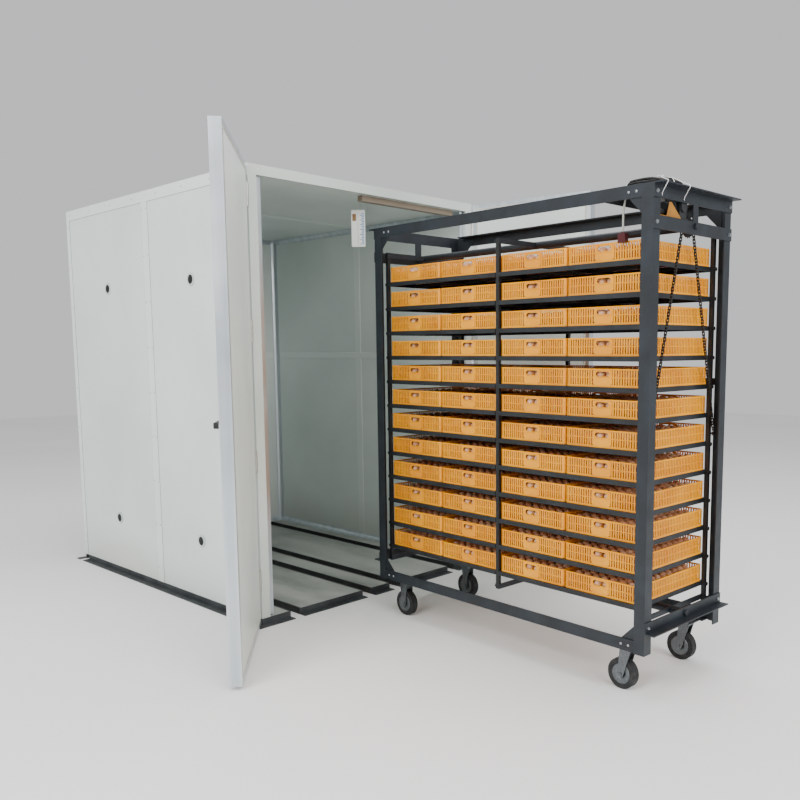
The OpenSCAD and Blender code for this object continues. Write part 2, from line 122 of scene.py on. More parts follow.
def ring_faces(rows, columns, close_rows=False, close_columns=True):
    """Quads of a grid of points, row after row, that may run round on itself."""
    i = np.arange(rows if close_rows else rows - 1)[:, None]
    k = np.arange(columns if close_columns else columns - 1)[None, :]
    j, m = (i + 1) % rows, (k + 1) % columns
    return np.stack([i * columns + k, i * columns + m, j * columns + m, j * columns + k], -1).reshape(-1, 4)


def boxes(low, high):
    """One closed box between each row of low and the same row of high."""
    low, high = np.atleast_2d(low).astype(float), np.atleast_2d(high).astype(float)
    pick = np.array([[0, 0, 0], [1, 0, 0], [1, 1, 0], [0, 1, 0], [0, 0, 1], [1, 0, 1], [1, 1, 1], [0, 1, 1]])
    points = low[:, None] * (1 - pick) + high[:, None] * pick
    quads = np.array([[0, 3, 2, 1], [4, 5, 6, 7], [0, 1, 5, 4], [1, 2, 6, 5], [2, 3, 7, 6], [3, 0, 4, 7]])
    return points.reshape(-1, 3), [(quads + 8 * np.arange(len(low))[:, None, None]).reshape(-1, 4)]


def extruded(outline, length):
    """An outline in x and y, drawn anticlockwise, carried along z from 0 to length."""
    outline = np.asarray(outline, float)
    n = len(outline)
    points = np.concatenate([np.column_stack([outline, np.full(n, z)]) for z in (0, length)])
    caps = np.array([np.arange(n)[::-1], np.arange(n) + n])
    return points, [ring_faces(2, n), caps]


def turned(profile, around=24, ring=False):
    """A profile of (radius, height) points turned round z; a ring profile closes on itself."""
    profile = np.asarray(profile, float)
    angle = np.linspace(0, 2 * math.pi, around, endpoint=False)
    radius, height = profile[:, 0][:, None], profile[:, 1][:, None]
    points = np.stack([radius * np.cos(angle), radius * np.sin(angle), height + 0 * angle], -1)
    n = len(profile)
    faces = [ring_faces(n, around, close_rows=ring)]
    if not ring:
        faces.append(np.array([np.arange(around)[::-1], np.arange(around) + (n - 1) * around]))
    return points.reshape(-1, 3), faces


def tube(path, radius, around=8, side=(1, 0, 0)):
    """A circle of the given radius carried along a path, closed at both ends."""
    path = np.asarray(path, float)
    along = np.gradient(path, axis=0)
    along /= np.linalg.norm(along, axis=1)[:, None]
    u = np.cross(along, side)
    u /= np.linalg.norm(u, axis=1)[:, None]
    v = np.cross(along, u)
    angle = np.linspace(0, 2 * math.pi, around, endpoint=False)[None, :, None]
    points = path[:, None] + radius * (np.cos(angle) * u[:, None] + np.sin(angle) * v[:, None])
    n = len(path)
    caps = np.array([np.arange(around)[::-1], np.arange(around) + (n - 1) * around])
    return points.reshape(-1, 3), [ring_faces(n, around), caps]


def mitred(x0, x1, z0, z1, profile):
    """A profile of (inset, depth) points carried round the rectangle, mitred at its corners."""
    inset, depth = np.asarray(profile, float).T
    corners = [(x0, z0, 1, 1), (x1, z0, -1, 1), (x1, z1, -1, -1), (x0, z1, 1, -1)]
    points = [np.column_stack([x + sx * inset, depth, z + sz * inset]) for x, z, sx, sz in corners]
    return np.concatenate(points), [ring_faces(4, len(inset), close_rows=True)]


def rounded_rail(width, length, radius, profile, steps=5):
    """A profile of (inset, height) points carried round a rectangle with round corners."""
    inset, height = np.asarray(profile, float).T
    turn = np.concatenate([np.linspace(q, q + 1, steps) for q in range(4)]) * math.pi / 2
    centre_x = np.repeat([width - radius, radius, radius, width - radius], steps)
    centre_y = np.repeat([length - radius, length - radius, radius, radius], steps)
    reach = radius - inset[None, :]
    x = centre_x[:, None] + reach * np.cos(turn)[:, None]
    y = centre_y[:, None] + reach * np.sin(turn)[:, None]
    points = np.stack([x, y, 0 * x + height], -1)
    return points.reshape(-1, 3), [ring_faces(4 * steps, len(inset), close_rows=True)]


def holed_plate(half, down, up, hole_half, hole_r, front, back, count=32):
    """A plate with a slot: each ray from the slot's centre meets the slot's rim and the plate's edge."""
    angle = np.linspace(0, 2 * math.pi, count, endpoint=False) + math.pi / count
    c, s = np.cos(angle), np.sin(angle)
    inner = np.column_stack([hole_r * c + np.sign(c) * (hole_half - hole_r), hole_r * s])
    reach = np.minimum(half / np.abs(c), np.where(s > 0, up, down) / np.abs(s))
    outer = np.column_stack([reach * c, reach * s])
    loops = [(outer, front), (inner, front), (inner, back), (outer, back)]
    points = np.stack([np.column_stack([p[:, 0], np.full(count, y), p[:, 1]]) for p, y in loops], 1)
    return points.reshape(-1, 3), [ring_faces(count, 4, close_rows=True)]


def put(part, place, at=(0, 0, 0)):
    """Move a part to a point of a place; a left-handed place turns its faces round again."""
    points, faces = part
    if np.linalg.det(place.axes) < 0:
        faces = [f[:, ::-1] for f in faces]
    return place.row(points + np.asarray(at, float)), faces


def repeat(part, at, spin=None):
    """Copies of a part at each point, each turned round z by its own angle."""
    points, faces = part
    at = np.atleast_2d(at).astype(float)
    turn = np.zeros(len(at)) if spin is None else spin
    c, s = np.cos(turn)[:, None], np.sin(turn)[:, None]
    x, y = points[:, 0] * c - points[:, 1] * s, points[:, 0] * s + points[:, 1] * c
    moved = np.stack([x, y, np.broadcast_to(points[:, 2], x.shape)], -1) + at[:, None]
    shift = (len(points) * np.arange(len(at)))[:, None, None]
    return moved.reshape(-1, 3), [(f + shift).reshape(-1, f.shape[1]) for f in faces]


def joined(parts):
    """Several parts as one, with the later parts' faces counted on from the earlier ones."""
    points, faces, first = [], [], 0
    for part_points, part_faces in parts:
        points.append(part_points)
        faces += [np.asarray(f) + first for f in part_faces]
        first += len(part_points)
    return np.concatenate(points), faces


def piece(name, parts, material, body, smooth=False, bevel=0, replaced=()):
    """Join parts into one object that rides on a body."""
    points, faces = joined(parts)
    mesh = bpy.data.meshes.new(name)
    loops = np.concatenate([f.ravel() for f in faces])
    sizes = np.concatenate([np.full(len(f), f.shape[1]) for f in faces])
    mesh.vertices.add(len(points))
    mesh.vertices.foreach_set("co", points.astype(np.float32).ravel())
    mesh.loops.add(len(loops))
    mesh.loops.foreach_set("vertex_index", loops.astype(np.int32))
    mesh.polygons.add(len(sizes))
    mesh.polygons.foreach_set("loop_start", (np.cumsum(sizes) - sizes).astype(np.int32))
    mesh.polygons.foreach_set("use_smooth", np.full(len(sizes), smooth))
    mesh.update(calc_edges=True)
    mesh.validate()
    made = bpy.data.objects.new(name, mesh)
    bpy.context.scene.collection.objects.link(made)
    mesh.materials.append(material)
    if bevel:
        edge = made.modifiers.new("edge", "BEVEL")
        edge.width, edge.segments, edge.limit_method = bevel, 2, "ANGLE"
    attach(made, body)
    if replaced:
        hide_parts(*replaced)
    return made


# ---------- materials ----------

def colour(code):
    """sRGB hex to linear RGBA."""
    parts = [int(code[k:k + 2], 16) / 255 for k in (1, 3, 5)]
    return [c / 12.92 if c <= 0.04045 else ((c + 0.055) / 1.055) ** 2.4 for c in parts] + [1.0]


def add(tree, kind, links=None, values=None, **settings):
    """Add one node with its settings, its fixed inputs and its links."""
    node = tree.nodes.new(kind)
    for name, value in settings.items():
        setattr(node, name, value)
    for name, value in (values or {}).items():
        node.inputs[name].default_value = value
    for name, socket in (links or {}).items():
        tree.links.new(socket, node.inputs[name])
    return node


def start(name, **fixed):
    """A new material with its shader's fixed values; returns it, its tree, shader and coordinates."""
    material = bpy.data.materials.new(name)
    material.use_nodes = True
    tree = material.node_tree
    shader = tree.nodes["Principled BSDF"]
    for socket, value in fixed.items():
        shader.inputs[socket.replace("_", " ")].default_value = value
    where = add(tree, "ShaderNodeTexCoord").outputs["Object"]
    return material, tree, shader, where


def shade(tree, shader, where, tones, size, detail=4.0, low=0.35, high=0.65, stretch=(1, 1, 1)):
    """Base colour that drifts between tones over patches of the given size in metres."""
    spot = add(tree, "ShaderNodeMapping", {"Vector": where}, {"Scale": stretch}).outputs[0]
    noise = add(tree, "ShaderNodeTexNoise", {"Vector": spot}, {"Scale": 1 / size, "Detail": detail})
    ramp = add(tree, "ShaderNodeValToRGB", {"Fac": noise.outputs["Fac"]})
    stops = ramp.color_ramp.elements
    stops[0].position, stops[1].position = low, high
    stops[0].color, stops[1].color = colour(tones[0]), colour(tones[-1])
    if len(tones) == 3:
        stops.new((low + high) / 2).color = colour(tones[1])
    tree.links.new(ramp.outputs["Color"], shader.inputs["Base Color"])
    return ramp.outputs["Color"], noise.outputs["Fac"]


def roughen(tree, shader, where, low, high, size):
    """Roughness between low and high over patches of the given size."""
    noise = add(tree, "ShaderNodeTexNoise", {"Vector": where}, {"Scale": 1 / size, "Detail": 5.0})
    span = add(tree, "ShaderNodeMapRange", {"Value": noise.outputs["Fac"]},
               {"From Min": 0.3, "From Max": 0.7, "To Min": low, "To Max": high})
    tree.links.new(span.outputs["Result"], shader.inputs["Roughness"])


def grain(tree, shader, where, size, depth, stretch=(1, 1, 1), strength=0.5):
    """Bump of the given grain size and depth in metres."""
    spot = add(tree, "ShaderNodeMapping", {"Vector": where}, {"Scale": stretch}).outputs[0]
    noise = add(tree, "ShaderNodeTexNoise", {"Vector": spot}, {"Scale": 1 / size, "Detail": 3.0})
    bump = add(tree, "ShaderNodeBump", {"Height": noise.outputs["Fac"]},
               {"Strength": strength, "Distance": depth})
    tree.links.new(bump.outputs["Normal"], shader.inputs["Normal"])


def overlay(tree, shader, base, mask, code):
    """Lay one more tone over the base colour where the mask is 1."""
    mix = add(tree, "ShaderNodeMix", {0: mask, 6: base}, {7: colour(code)}, data_type="RGBA")
    tree.links.new(mix.outputs[2], shader.inputs["Base Color"])
    return mix.outputs[2]


def below(tree, where, height, fade, noise):
    """1 near the floor, 0 above the height, with a cloudy edge."""
    z = add(tree, "ShaderNodeSeparateXYZ", {"Vector": where}).outputs["Z"]
    cloudy = add(tree, "ShaderNodeMath", {0: z, 1: noise}, operation="SUBTRACT").outputs[0]
    edge = height - 0.5
    return add(tree, "ShaderNodeMapRange", {"Value": cloudy},
               {"From Min": edge, "From Max": edge - fade, "To Min": 0.0, "To Max": 1.0}).outputs[0]


def coil_coated_steel(name, tones, dust):
    # Polyester paint baked on galvanised sheet, rolled flat: even and satin, with a faint orange peel
    # of about 4 mm, drawn coarser than life so that it shows, and a film of dust by the floor.
    material, tree, shader, where = start(name, Roughness=0.38, IOR=1.5, Coat_Weight=0.15, Coat_Roughness=0.3)
    base, noise = shade(tree, shader, where, tones, 0.9)
    roughen(tree, shader, where, 0.32, 0.46, 0.35)
    grain(tree, shader, where, 4 * MM, 0.08 * MM, strength=0.35)
    mask = add(tree, "ShaderNodeMath", {0: below(tree, where, 0.32, 0.3, noise)}, {1: 0.35},
               operation="MULTIPLY").outputs[0]
    overlay(tree, shader, base, mask, dust)
    return material


def anodised_aluminium(name, tones, along):
    # Extruded and satin anodised: a grey metal with fine draw lines along its length (about 1 mm
    # apart, drawn coarser than the real 0.1 mm so that they show).
    material, tree, shader, where = start(name, Metallic=0.85, Roughness=0.34)
    stretch = [0.02 if k == along else 1.0 for k in range(3)]
    shade(tree, shader, where, tones, 0.05, detail=6.0, stretch=stretch)
    roughen(tree, shader, where, 0.28, 0.42, 0.2)
    grain(tree, shader, where, 1 * MM, 0.02 * MM, stretch=stretch, strength=0.15)
    return material


def enamelled_steel(name, tones, chip, gloss=0.3):
    # Air-dried machine enamel brushed and sprayed on mill-scale angle steel: semi-gloss, with brush
    # waviness of 12 mm, a dusty cast and a few small chips that show grey primer.
    material, tree, shader, where = start(name, IOR=1.5, Coat_Weight=0.06, Coat_Roughness=0.3)
    base, _ = shade(tree, shader, where, tones, 0.12, detail=5.0)
    roughen(tree, shader, where, gloss, gloss + 0.2, 0.07)
    grain(tree, shader, where, 12 * MM, 0.25 * MM, strength=0.45)
    chips = add(tree, "ShaderNodeTexNoise", {"Vector": where},
                {"Scale": 90.0, "Detail": 2.0, "Roughness": 0.7})
    mask = add(tree, "ShaderNodeMapRange", {"Value": chips.outputs["Fac"]},
               {"From Min": 0.72, "From Max": 0.75, "To Min": 0.0, "To Max": 0.8}).outputs[0]
    overlay(tree, shader, base, mask, chip)
    return material


def zinc_plated_steel(name, tones):
    # Electroplated zinc, bright passivated: pale metal with a cloudy cell pattern of some 6 mm.
    material, tree, shader, where = start(name, Metallic=1.0, Roughness=0.36)
    cells = add(tree, "ShaderNodeTexVoronoi", {"Vector": where}, {"Scale": 1 / (6 * MM)}).outputs["Distance"]
    ramp = add(tree, "ShaderNodeValToRGB", {"Fac": cells})
    ramp.color_ramp.elements[0].color, ramp.color_ramp.elements[1].color = colour(tones[0]), colour(tones[1])
    tree.links.new(ramp.outputs["Color"], shader.inputs["Base Color"])
    roughen(tree, shader, where, 0.28, 0.5, 0.03)
    grain(tree, shader, where, 3 * MM, 0.04 * MM, strength=0.4)
    return material


def moulded_plastic(name, tones, roughness=0.4, glow=0.0):
    # Injection moulded: smooth with a light spark-eroded grain and slow drifts of colour.
    material, tree, shader, where = start(name, IOR=1.49, Subsurface_Weight=glow, Subsurface_Scale=0.006)
    shade(tree, shader, where, tones, 0.16)
    roughen(tree, shader, where, roughness - 0.06, roughness + 0.1, 0.05)
    grain(tree, shader, where, 1.5 * MM, 0.05 * MM, strength=0.3)
    return material


def black_rubber(name, tones, dust):
    # Vulcanised rubber: dull black, with pale floor dust in a fine mottle.
    material, tree, shader, where = start(name, IOR=1.52, Roughness=0.7)
    base, _ = shade(tree, shader, where, tones, 0.05)
    roughen(tree, shader, where, 0.55, 0.85, 0.03)
    grain(tree, shader, where, 2 * MM, 0.15 * MM)
    speck = add(tree, "ShaderNodeTexNoise", {"Vector": where}, {"Scale": 60.0, "Detail": 6.0}).outputs["Fac"]
    mask = add(tree, "ShaderNodeMapRange", {"Value": speck},
               {"From Min": 0.5, "From Max": 0.75, "To Min": 0.0, "To Max": 0.55}).outputs[0]
    overlay(tree, shader, base, mask, dust)
    return material


def floor_board_finish():
    # Phenolic film-faced board: a pale grey worn top, and every face that does not face up drawn
    # near black, painted shade on the boards' sides and down in the wheel channels. The surface's own
    # direction tells top from edge.
    material, tree, shader, where = start("Film-faced floor board", IOR=1.5)
    base, _ = shade(tree, shader, where, ("#8F938E", "#A9ADA7", "#B9BCB6"), 0.22, stretch=(1, 0.3, 1))
    roughen(tree, shader, where, 0.42, 0.62, 0.09)
    grain(tree, shader, where, 5 * MM, 0.12 * MM)
    # Painted shade: faces that do not face up are overlaid with the near-black tone.
    normal = add(tree, "ShaderNodeNewGeometry").outputs["Normal"]
    z = add(tree, "ShaderNodeSeparateXYZ", {"Vector": normal}).outputs["Z"]
    edge = add(tree, "ShaderNodeMath", {0: z}, {1: 0.5}, operation="LESS_THAN").outputs[0]
    overlay(tree, shader, base, edge, "#1E2120")
    return material


def fitting_finish():
    # One moulded plastic in two tints: a dark beige for the trunking under the ceiling, its own beige
    # darkened by painted shade from the lintel above, and wall white for the vent flanges lower down. Height
    # tells them apart.
    material, tree, shader, where = start("Beige and white moulded plastic", IOR=1.49)
    base, _ = shade(tree, shader, where, ("#B9C2BC", "#C4CCC6", "#CDD4CF"), 0.16)
    roughen(tree, shader, where, 0.4, 0.55, 0.05)
    grain(tree, shader, where, 1.5 * MM, 0.05 * MM, strength=0.3)
    z = add(tree, "ShaderNodeSeparateXYZ", {"Vector": where}).outputs["Z"]
    high = add(tree, "ShaderNodeMath", {0: z}, {1: 2.1}, operation="GREATER_THAN").outputs[0]
    # Above 2.1 m the trunking's beige is drawn dark: partly its own colour, partly painted shade under the
    # lintel.
    overlay(tree, shader, base, high, "#857868")
    return material


def eggshell():
    # Brown hen's eggs: a matt porous shell whose tint differs from egg to egg, with fine specks.
    material, tree, shader, where = start("Brown eggshell", IOR=1.5, Subsurface_Weight=0.1,
                                          Subsurface_Scale=0.003)
    base, _ = shade(tree, shader, where, ("#B97F58", "#CC9870", "#DDB393"), 0.045, detail=1.0,
                    low=0.3, high=0.7)
    roughen(tree, shader, where, 0.5, 0.62, 0.02)
    speck = add(tree, "ShaderNodeTexNoise", {"Vector": where}, {"Scale": 500.0, "Detail": 1.0}).outputs["Fac"]
    mask = add(tree, "ShaderNodeMapRange", {"Value": speck},
               {"From Min": 0.68, "From Max": 0.72, "To Min": 0.0, "To Max": 0.6}).outputs[0]
    overlay(tree, shader, base, mask, "#8A5636")
    grain(tree, shader, where, 1.5 * MM, 0.03 * MM)
    return material


FLOOR_DUST = "#A79E8F"
wall_steel = coil_coated_steel("Coil-coated wall steel", ("#CFDAD6", "#D8E2DE", "#E0E9E5"), FLOOR_DUST)
door_steel = coil_coated_steel("Coil-coated door steel", ("#CDD8D4", "#D6E0DC", "#DEE7E3"), FLOOR_DUST)
trim_steel = coil_coated_steel("Folded coil-coated trim", ("#D8E2DF", "#E0E9E6", "#E7EEEB"), FLOOR_DUST)
frame_upright = coil_coated_steel("Painted frame profile", ("#B9C2BC", "#C4CCC6", "#CDD4CF"), FLOOR_DUST)
lintel_alloy = anodised_aluminium("Anodised door-edge profile", ("#BCC4CA", "#C8CFD4", "#D3D9DD"), 2)
trolley_enamel = enamelled_steel("Blue-grey machine enamel", ("#0F151B", "#141B22", "#1A222A"),
                                 "#40474D", 0.42)
rod_enamel = enamelled_steel("Black rod enamel", ("#0A0C0E", "#0F1214", "#15181B"), "#303335", 0.42)
shelf_enamel = enamelled_steel("Dark shelf enamel", ("#0D1013", "#13171B", "#191E23"), "#34383B", 0.42)
motor_enamel = enamelled_steel("Black motor enamel", ("#0C0D0E", "#131517", "#1A1D1F"), "#2E3032", 0.35)
bracket_enamel = enamelled_steel("Yellow-passivated bracket steel", ("#7A4E0C", "#8E5C10", "#A26C18"),
                                 "#4A3210", 0.3)
base_steel = enamelled_steel("Dark base enamel", ("#262A2C", "#303436", "#3A3E3F"), "#6B6F70", 0.45)
fan_steel = enamelled_steel("Grey fan enamel", ("#4C5053", "#56595C", "#606467"), "#8A8D8F", 0.35)
hinge_zinc = zinc_plated_steel("Zinc-plated hinge steel", ("#A3A39C", "#BDBDB6"))
fork_zinc = zinc_plated_steel("Zinc-plated caster steel", ("#5F6366", "#7A7E81"))
bolt_zinc = zinc_plated_steel("Zinc-plated fasteners", ("#8D9194", "#A9ADB0"))
blade_alloy = anodised_aluminium("Pressed blade aluminium", ("#9EA2A4", "#ABAFB1", "#B8BCBD"), 0)
chain_steel = enamelled_steel("Oiled roller-chain steel", ("#060707", "#0B0C0D", "#121314"), "#1E1F20", 0.3)
basket_plastic = moulded_plastic("Orange-yellow polyethylene", ("#E08E00", "#E89700", "#F0A000"), 0.45, 0.12)
dark_plastic = moulded_plastic("Black moulded plastic", ("#090A0A", "#0E0F10", "#141516"), 0.5)
grey_sealant = moulded_plastic("Grey joint sealant", ("#7E8681", "#8A928D", "#959D98"), 0.7)
card_plastic = moulded_plastic("White printed card", ("#E9E9E4", "#EFEFEB", "#F5F5F2"), 0.42)
card_brown = moulded_plastic("Brown print", ("#7A5A33", "#8A683C", "#967346"), 0.5)
card_blue = moulded_plastic("Blue print", ("#3E7FB8", "#4A8BC2", "#5797CC"), 0.5)
plug_plastic = moulded_plastic("Maroon moulded plug", ("#34070A", "#400A0C", "#4C0E10"), 0.36)
tie_plastic = moulded_plastic("White cable tie", ("#D9DAD6", "#E3E4E0", "#ECEDEA"), 0.4, 0.1)
tyre_rubber = black_rubber("Black caster rubber", ("#0B0C0D", "#111213", "#181A1B"), "#3A3733")
seal_rubber = moulded_plastic("Pale door gasket", ("#B4B2AA", "#BEBCB4", "#C6C4BD"), 0.6)
cable_rubber = black_rubber("Black cable sheath", ("#121314", "#191A1B", "#202122"), "#3D3C3A")
lead_rubber = moulded_plastic("Grey cable sheath", ("#8E8E87", "#9D9D96", "#ABABA4"), 0.45)
floor_board = floor_board_finish()
fitting_plastic = fitting_finish()
shell = eggshell()


def dress():
    """Give every CAD node its finish."""
    finishes = {
        "base_frame": base_steel, "floor_planks": floor_board, "side_wall_panels": wall_steel,
        "rear_wall_panels": wall_steel, "roof_panels": wall_steel, "outer_trims": trim_steel,
        "plastic_fittings": fitting_plastic, "front_frame": frame_upright, "thermometer_card": card_plastic,
        "frame_hinge_leaves": hinge_zinc, "fan_housing": fan_steel, "fan_blades": blade_alloy,
        "left_door": door_steel, "right_door": door_steel, "left_hinge_leaves": hinge_zinc,
        "right_hinge_leaves": hinge_zinc, "left_latch": dark_plastic, "right_latch": dark_plastic,
        "drive_motor": motor_enamel, "rods_left": rod_enamel, "rods_right": rod_enamel,
        "drive_chains": chain_steel, "cable_coil": cable_rubber, "switch_lead": lead_rubber,
        "switch_plug": plug_plastic}
    families = {"trolley": trolley_enamel, "rocker": trolley_enamel, "shelf": shelf_enamel,
                "baskets": basket_plastic, "fork": fork_zinc, "forks": fork_zinc, "wheel": tyre_rubber}
    for name, node in frame["nodes"].items():
        finish = finishes.get(name) or families[name.split("_")[0]]
        if not node.material_slots:
            node.data.materials.append(finish)
        for slot in node.material_slots:
            slot.material = finish


dress()


# ---------- camera, floor and light ----------

def make_camera():
    """Eye height of a standing person, to the cabinet's front left, held almost level."""
    yaw, pitch, roll = math.radians(47.382), math.radians(-6.578), math.radians(-0.328)
    ahead = np.array([math.sin(yaw) * math.cos(pitch), math.cos(yaw) * math.cos(pitch), math.sin(pitch)])
    right = np.array([math.cos(yaw), -math.sin(yaw), 0.0])
    upward = np.cross(right, ahead)
    x = math.cos(roll) * right + math.sin(roll) * upward
    y = math.cos(roll) * upward - math.sin(roll) * right
    data = bpy.data.cameras.new("camera")
    data.sensor_width, data.lens, data.shift_x, data.shift_y = 36.0, 37.215, -0.0717, 0.0555
    camera = bpy.data.objects.new("camera", data)
    bpy.context.scene.collection.objects.link(camera)
    camera.matrix_world = Matrix([[x[k], y[k], -ahead[k], (-3.153, -4.560, 1.402)[k]] for k in range(3)]
                                 + [[0, 0, 0, 1]])
    bpy.context.scene.camera = camera


def make_floor():
    """A pale floor that is only for the picture."""
    mesh = bpy.data.meshes.new("studio_floor")
    mesh.from_pydata([(-14, -14, 0), (14, -14, 0), (14, 14, 0), (-14, 14, 0)], [], [(0, 1, 2, 3)])
    material, tree, shader, where = start("Pale studio floor", Roughness=0.75)
    shade(tree, shader, where, ("#EDEDEB", "#F1F1EF"), 2.0)
    mesh.materials.append(material)
    floor = bpy.data.objects.new("studio_floor", mesh)
    bpy.context.scene.collection.objects.link(floor)


def area_light(name, at, aim, size, power):
    """A square soft box at a point, turned towards another."""
    data = bpy.data.lights.new(name, "AREA")
    data.size, data.energy = size, power
    light = bpy.data.objects.new(name, data)
    bpy.context.scene.collection.objects.link(light)
    back = np.array(at, float) - np.array(aim, float)
    back /= np.linalg.norm(back)
    side = np.cross(UP, back) if abs(back[2]) < 0.99 else np.array([1.0, 0.0, 0.0])
    side /= np.linalg.norm(side)
    over = np.cross(back, side)
    light.matrix_world = Matrix([[side[k], over[k], back[k], at[k]] for k in range(3)] + [[0, 0, 0, 1]])


def make_light():
    """Three soft boxes and an even pale sky."""
    area_light("left_soft_box", (-6.5, -2.5, 4.2), (-0.6, -0.8, 1.0), 4.0, 420)
    area_light("front_soft_box", (-1.5, -8.0, 3.6), (0, -1.8, 1.0), 4.0, 330)
    area_light("top_soft_box", (1.0, -1.5, 6.0), (0, -0.8, 0), 5.0, 260)
    world = bpy.data.worlds.new("studio")
    bpy.context.scene.world = world
    world.use_nodes = True
    world.node_tree.nodes["Background"].inputs["Color"].default_value = colour("#F7F8FA")
    world.node_tree.nodes["Background"].inputs["Strength"].default_value = 0.75


make_camera()
make_floor()
make_light()


# ---------- cords ----------

def smooth_path(points, count):
    """Points spread evenly along a Catmull-Rom curve through the given ones."""
    p = np.asarray(points, float)
    p = np.concatenate([[2 * p[0] - p[1]], p, [2 * p[-1] - p[-2]]])
    t = np.linspace(0, 1, 12, endpoint=False)[None, :, None]
    a, b, c, d = (p[k:len(p) - 3 + k, None] for k in range(4))
    fine = 0.5 * (2 * b + (c - a) * t + (2 * a - 5 * b + 4 * c - d) * t ** 2
                  + (3 * b - a - 3 * c + d) * t ** 3)
    fine = np.concatenate([fine.reshape(-1, 3), [p[-2]]])
    run = np.concatenate([[0], np.cumsum(np.linalg.norm(np.diff(fine, axis=0), axis=1))])
    even = np.linspace(0, run[-1], count)
    return np.column_stack([np.interp(even, run, fine[:, k]) for k in range(3)])


def cord_piece(name, path, radius, material, slot, replaced, **facts):
    """A round cord along a path; it rides on the trolley."""
    data = bpy.data.curves.new(name, "CURVE")
    data.dimensions = "3D"
    data.bevel_depth, data.bevel_resolution, data.use_fill_caps = radius, 4, True
    spline = data.splines.new("POLY")
    spline.points.add(len(path) - 1)
    spline.points.foreach_set("co", np.column_stack([path, np.ones(len(path))]).ravel())
    spline.use_smooth = True
    data.materials.append(material)
    made = bpy.data.objects.new(name, data)
    bpy.context.scene.collection.objects.link(made)
    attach(made, "trolley")
    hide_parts(replaced)
    return made


def coil_path():
    """From the motor up to the ring, 18.5 turns round it in five layers, and a free end inside.

    The turns fill a round bundle: three, four, five, four and three tracks a pitch apart in layers
    a pitch high. Each turn steps to the next track over its first tenth, and up to the next layer
    over its second tenth, so that neighbours stay a wire's width apart.
    """
    centre_x, centre_y = (np.mean(trolley.span("cable_coil", k)) for k in range(2))
    tube_r = np.ptp(trolley.span("cable_coil", 2)) / 2
    middle = np.ptp(trolley.span("cable_coil", 0)) / 2 - tube_r
    deck = trolley.span("cable_coil", 2)[0]
    pitch = 10.5 * MM
    tracks = [np.arange(n) - (n - 1) / 2 for n in (3, 4, 5, 4, 3)]
    track = np.concatenate([t if k % 2 == 0 else -t for k, t in enumerate(tracks)])
    layer = np.repeat(np.arange(5), [3, 4, 5, 4, 3])
    n = np.arange(1, len(track))
    begin = n + np.where(np.diff(layer) > 0, 0.1, 0.0)
    knots = np.column_stack([begin, begin + 0.1]).ravel()
    turns = np.linspace(0, 18.5, 18 * 40 + 21)
    offset = np.interp(turns, knots, np.column_stack([track[:-1], track[1:]]).ravel())
    height = np.interp(turns, knots, np.column_stack([layer[:-1], layer[1:]]).ravel())
    inside = np.linspace(-0.4, 0, 12, endpoint=False)
    radius = middle + np.concatenate([track[0] + 6 * inside, offset]) * pitch
    angle = 2 * math.pi * np.concatenate([inside, turns])
    z = deck + 5 * MM + np.concatenate([0 * inside, height]) * pitch
    ring = np.column_stack([centre_x + radius * np.cos(angle), centre_y + radius * np.sin(angle), z])
    end = ring[-1]
    motor_y, motor_top = 33 * MM, trolley.span("drive_motor", 2)[0] + 58 * MM
    x = end[0] - 3 * MM
    drop = [end, end + [0, -30 * MM, 0], end + [-2 * MM, -60 * MM, -3 * MM],
            [x, motor_y + 32 * MM, deck + 36 * MM], [x, motor_y + 14 * MM, deck + 25 * MM],
            [x, motor_y + 2 * MM, deck - 2 * MM], [x, motor_y, deck - 30 * MM], [x, motor_y, motor_top]]
    return trolley.row(np.concatenate([ring[:-1], smooth_path(drop, 18)])[::-1])


# The lead hangs from under the left top rail to its plug; these points are in millimetres.
LEAD_POINTS = [[24, 134, 2011], [24, 134, 1998], [24, 136, 1984], [24, 139, 1970], [24, 142, 1955],
               [24, 145, 1940], [24, 147, 1925], [24, 148, 1911], [24, 148, 1896], [24, 148, 1881],
               [24, 148, 1866], [24, 148, 1850]]

cord_piece("coiled_cable", coil_path(), 4.5 * MM, cable_rubber, "cable_sheath", "cable_coil",
           far_end="bare", stiffness="medium", lay="coiled")
cord_piece("hanging_lead", trolley.row(smooth_path(np.array(LEAD_POINTS) * MM, 28)), 4 * MM, lead_rubber,
           "lead_sheath", "switch_lead", far_end="plug", stiffness="limp", lay="hanging",
           with_pieces=[frame["nodes"]["switch_plug"]])


# ---------- baskets and eggs ----------

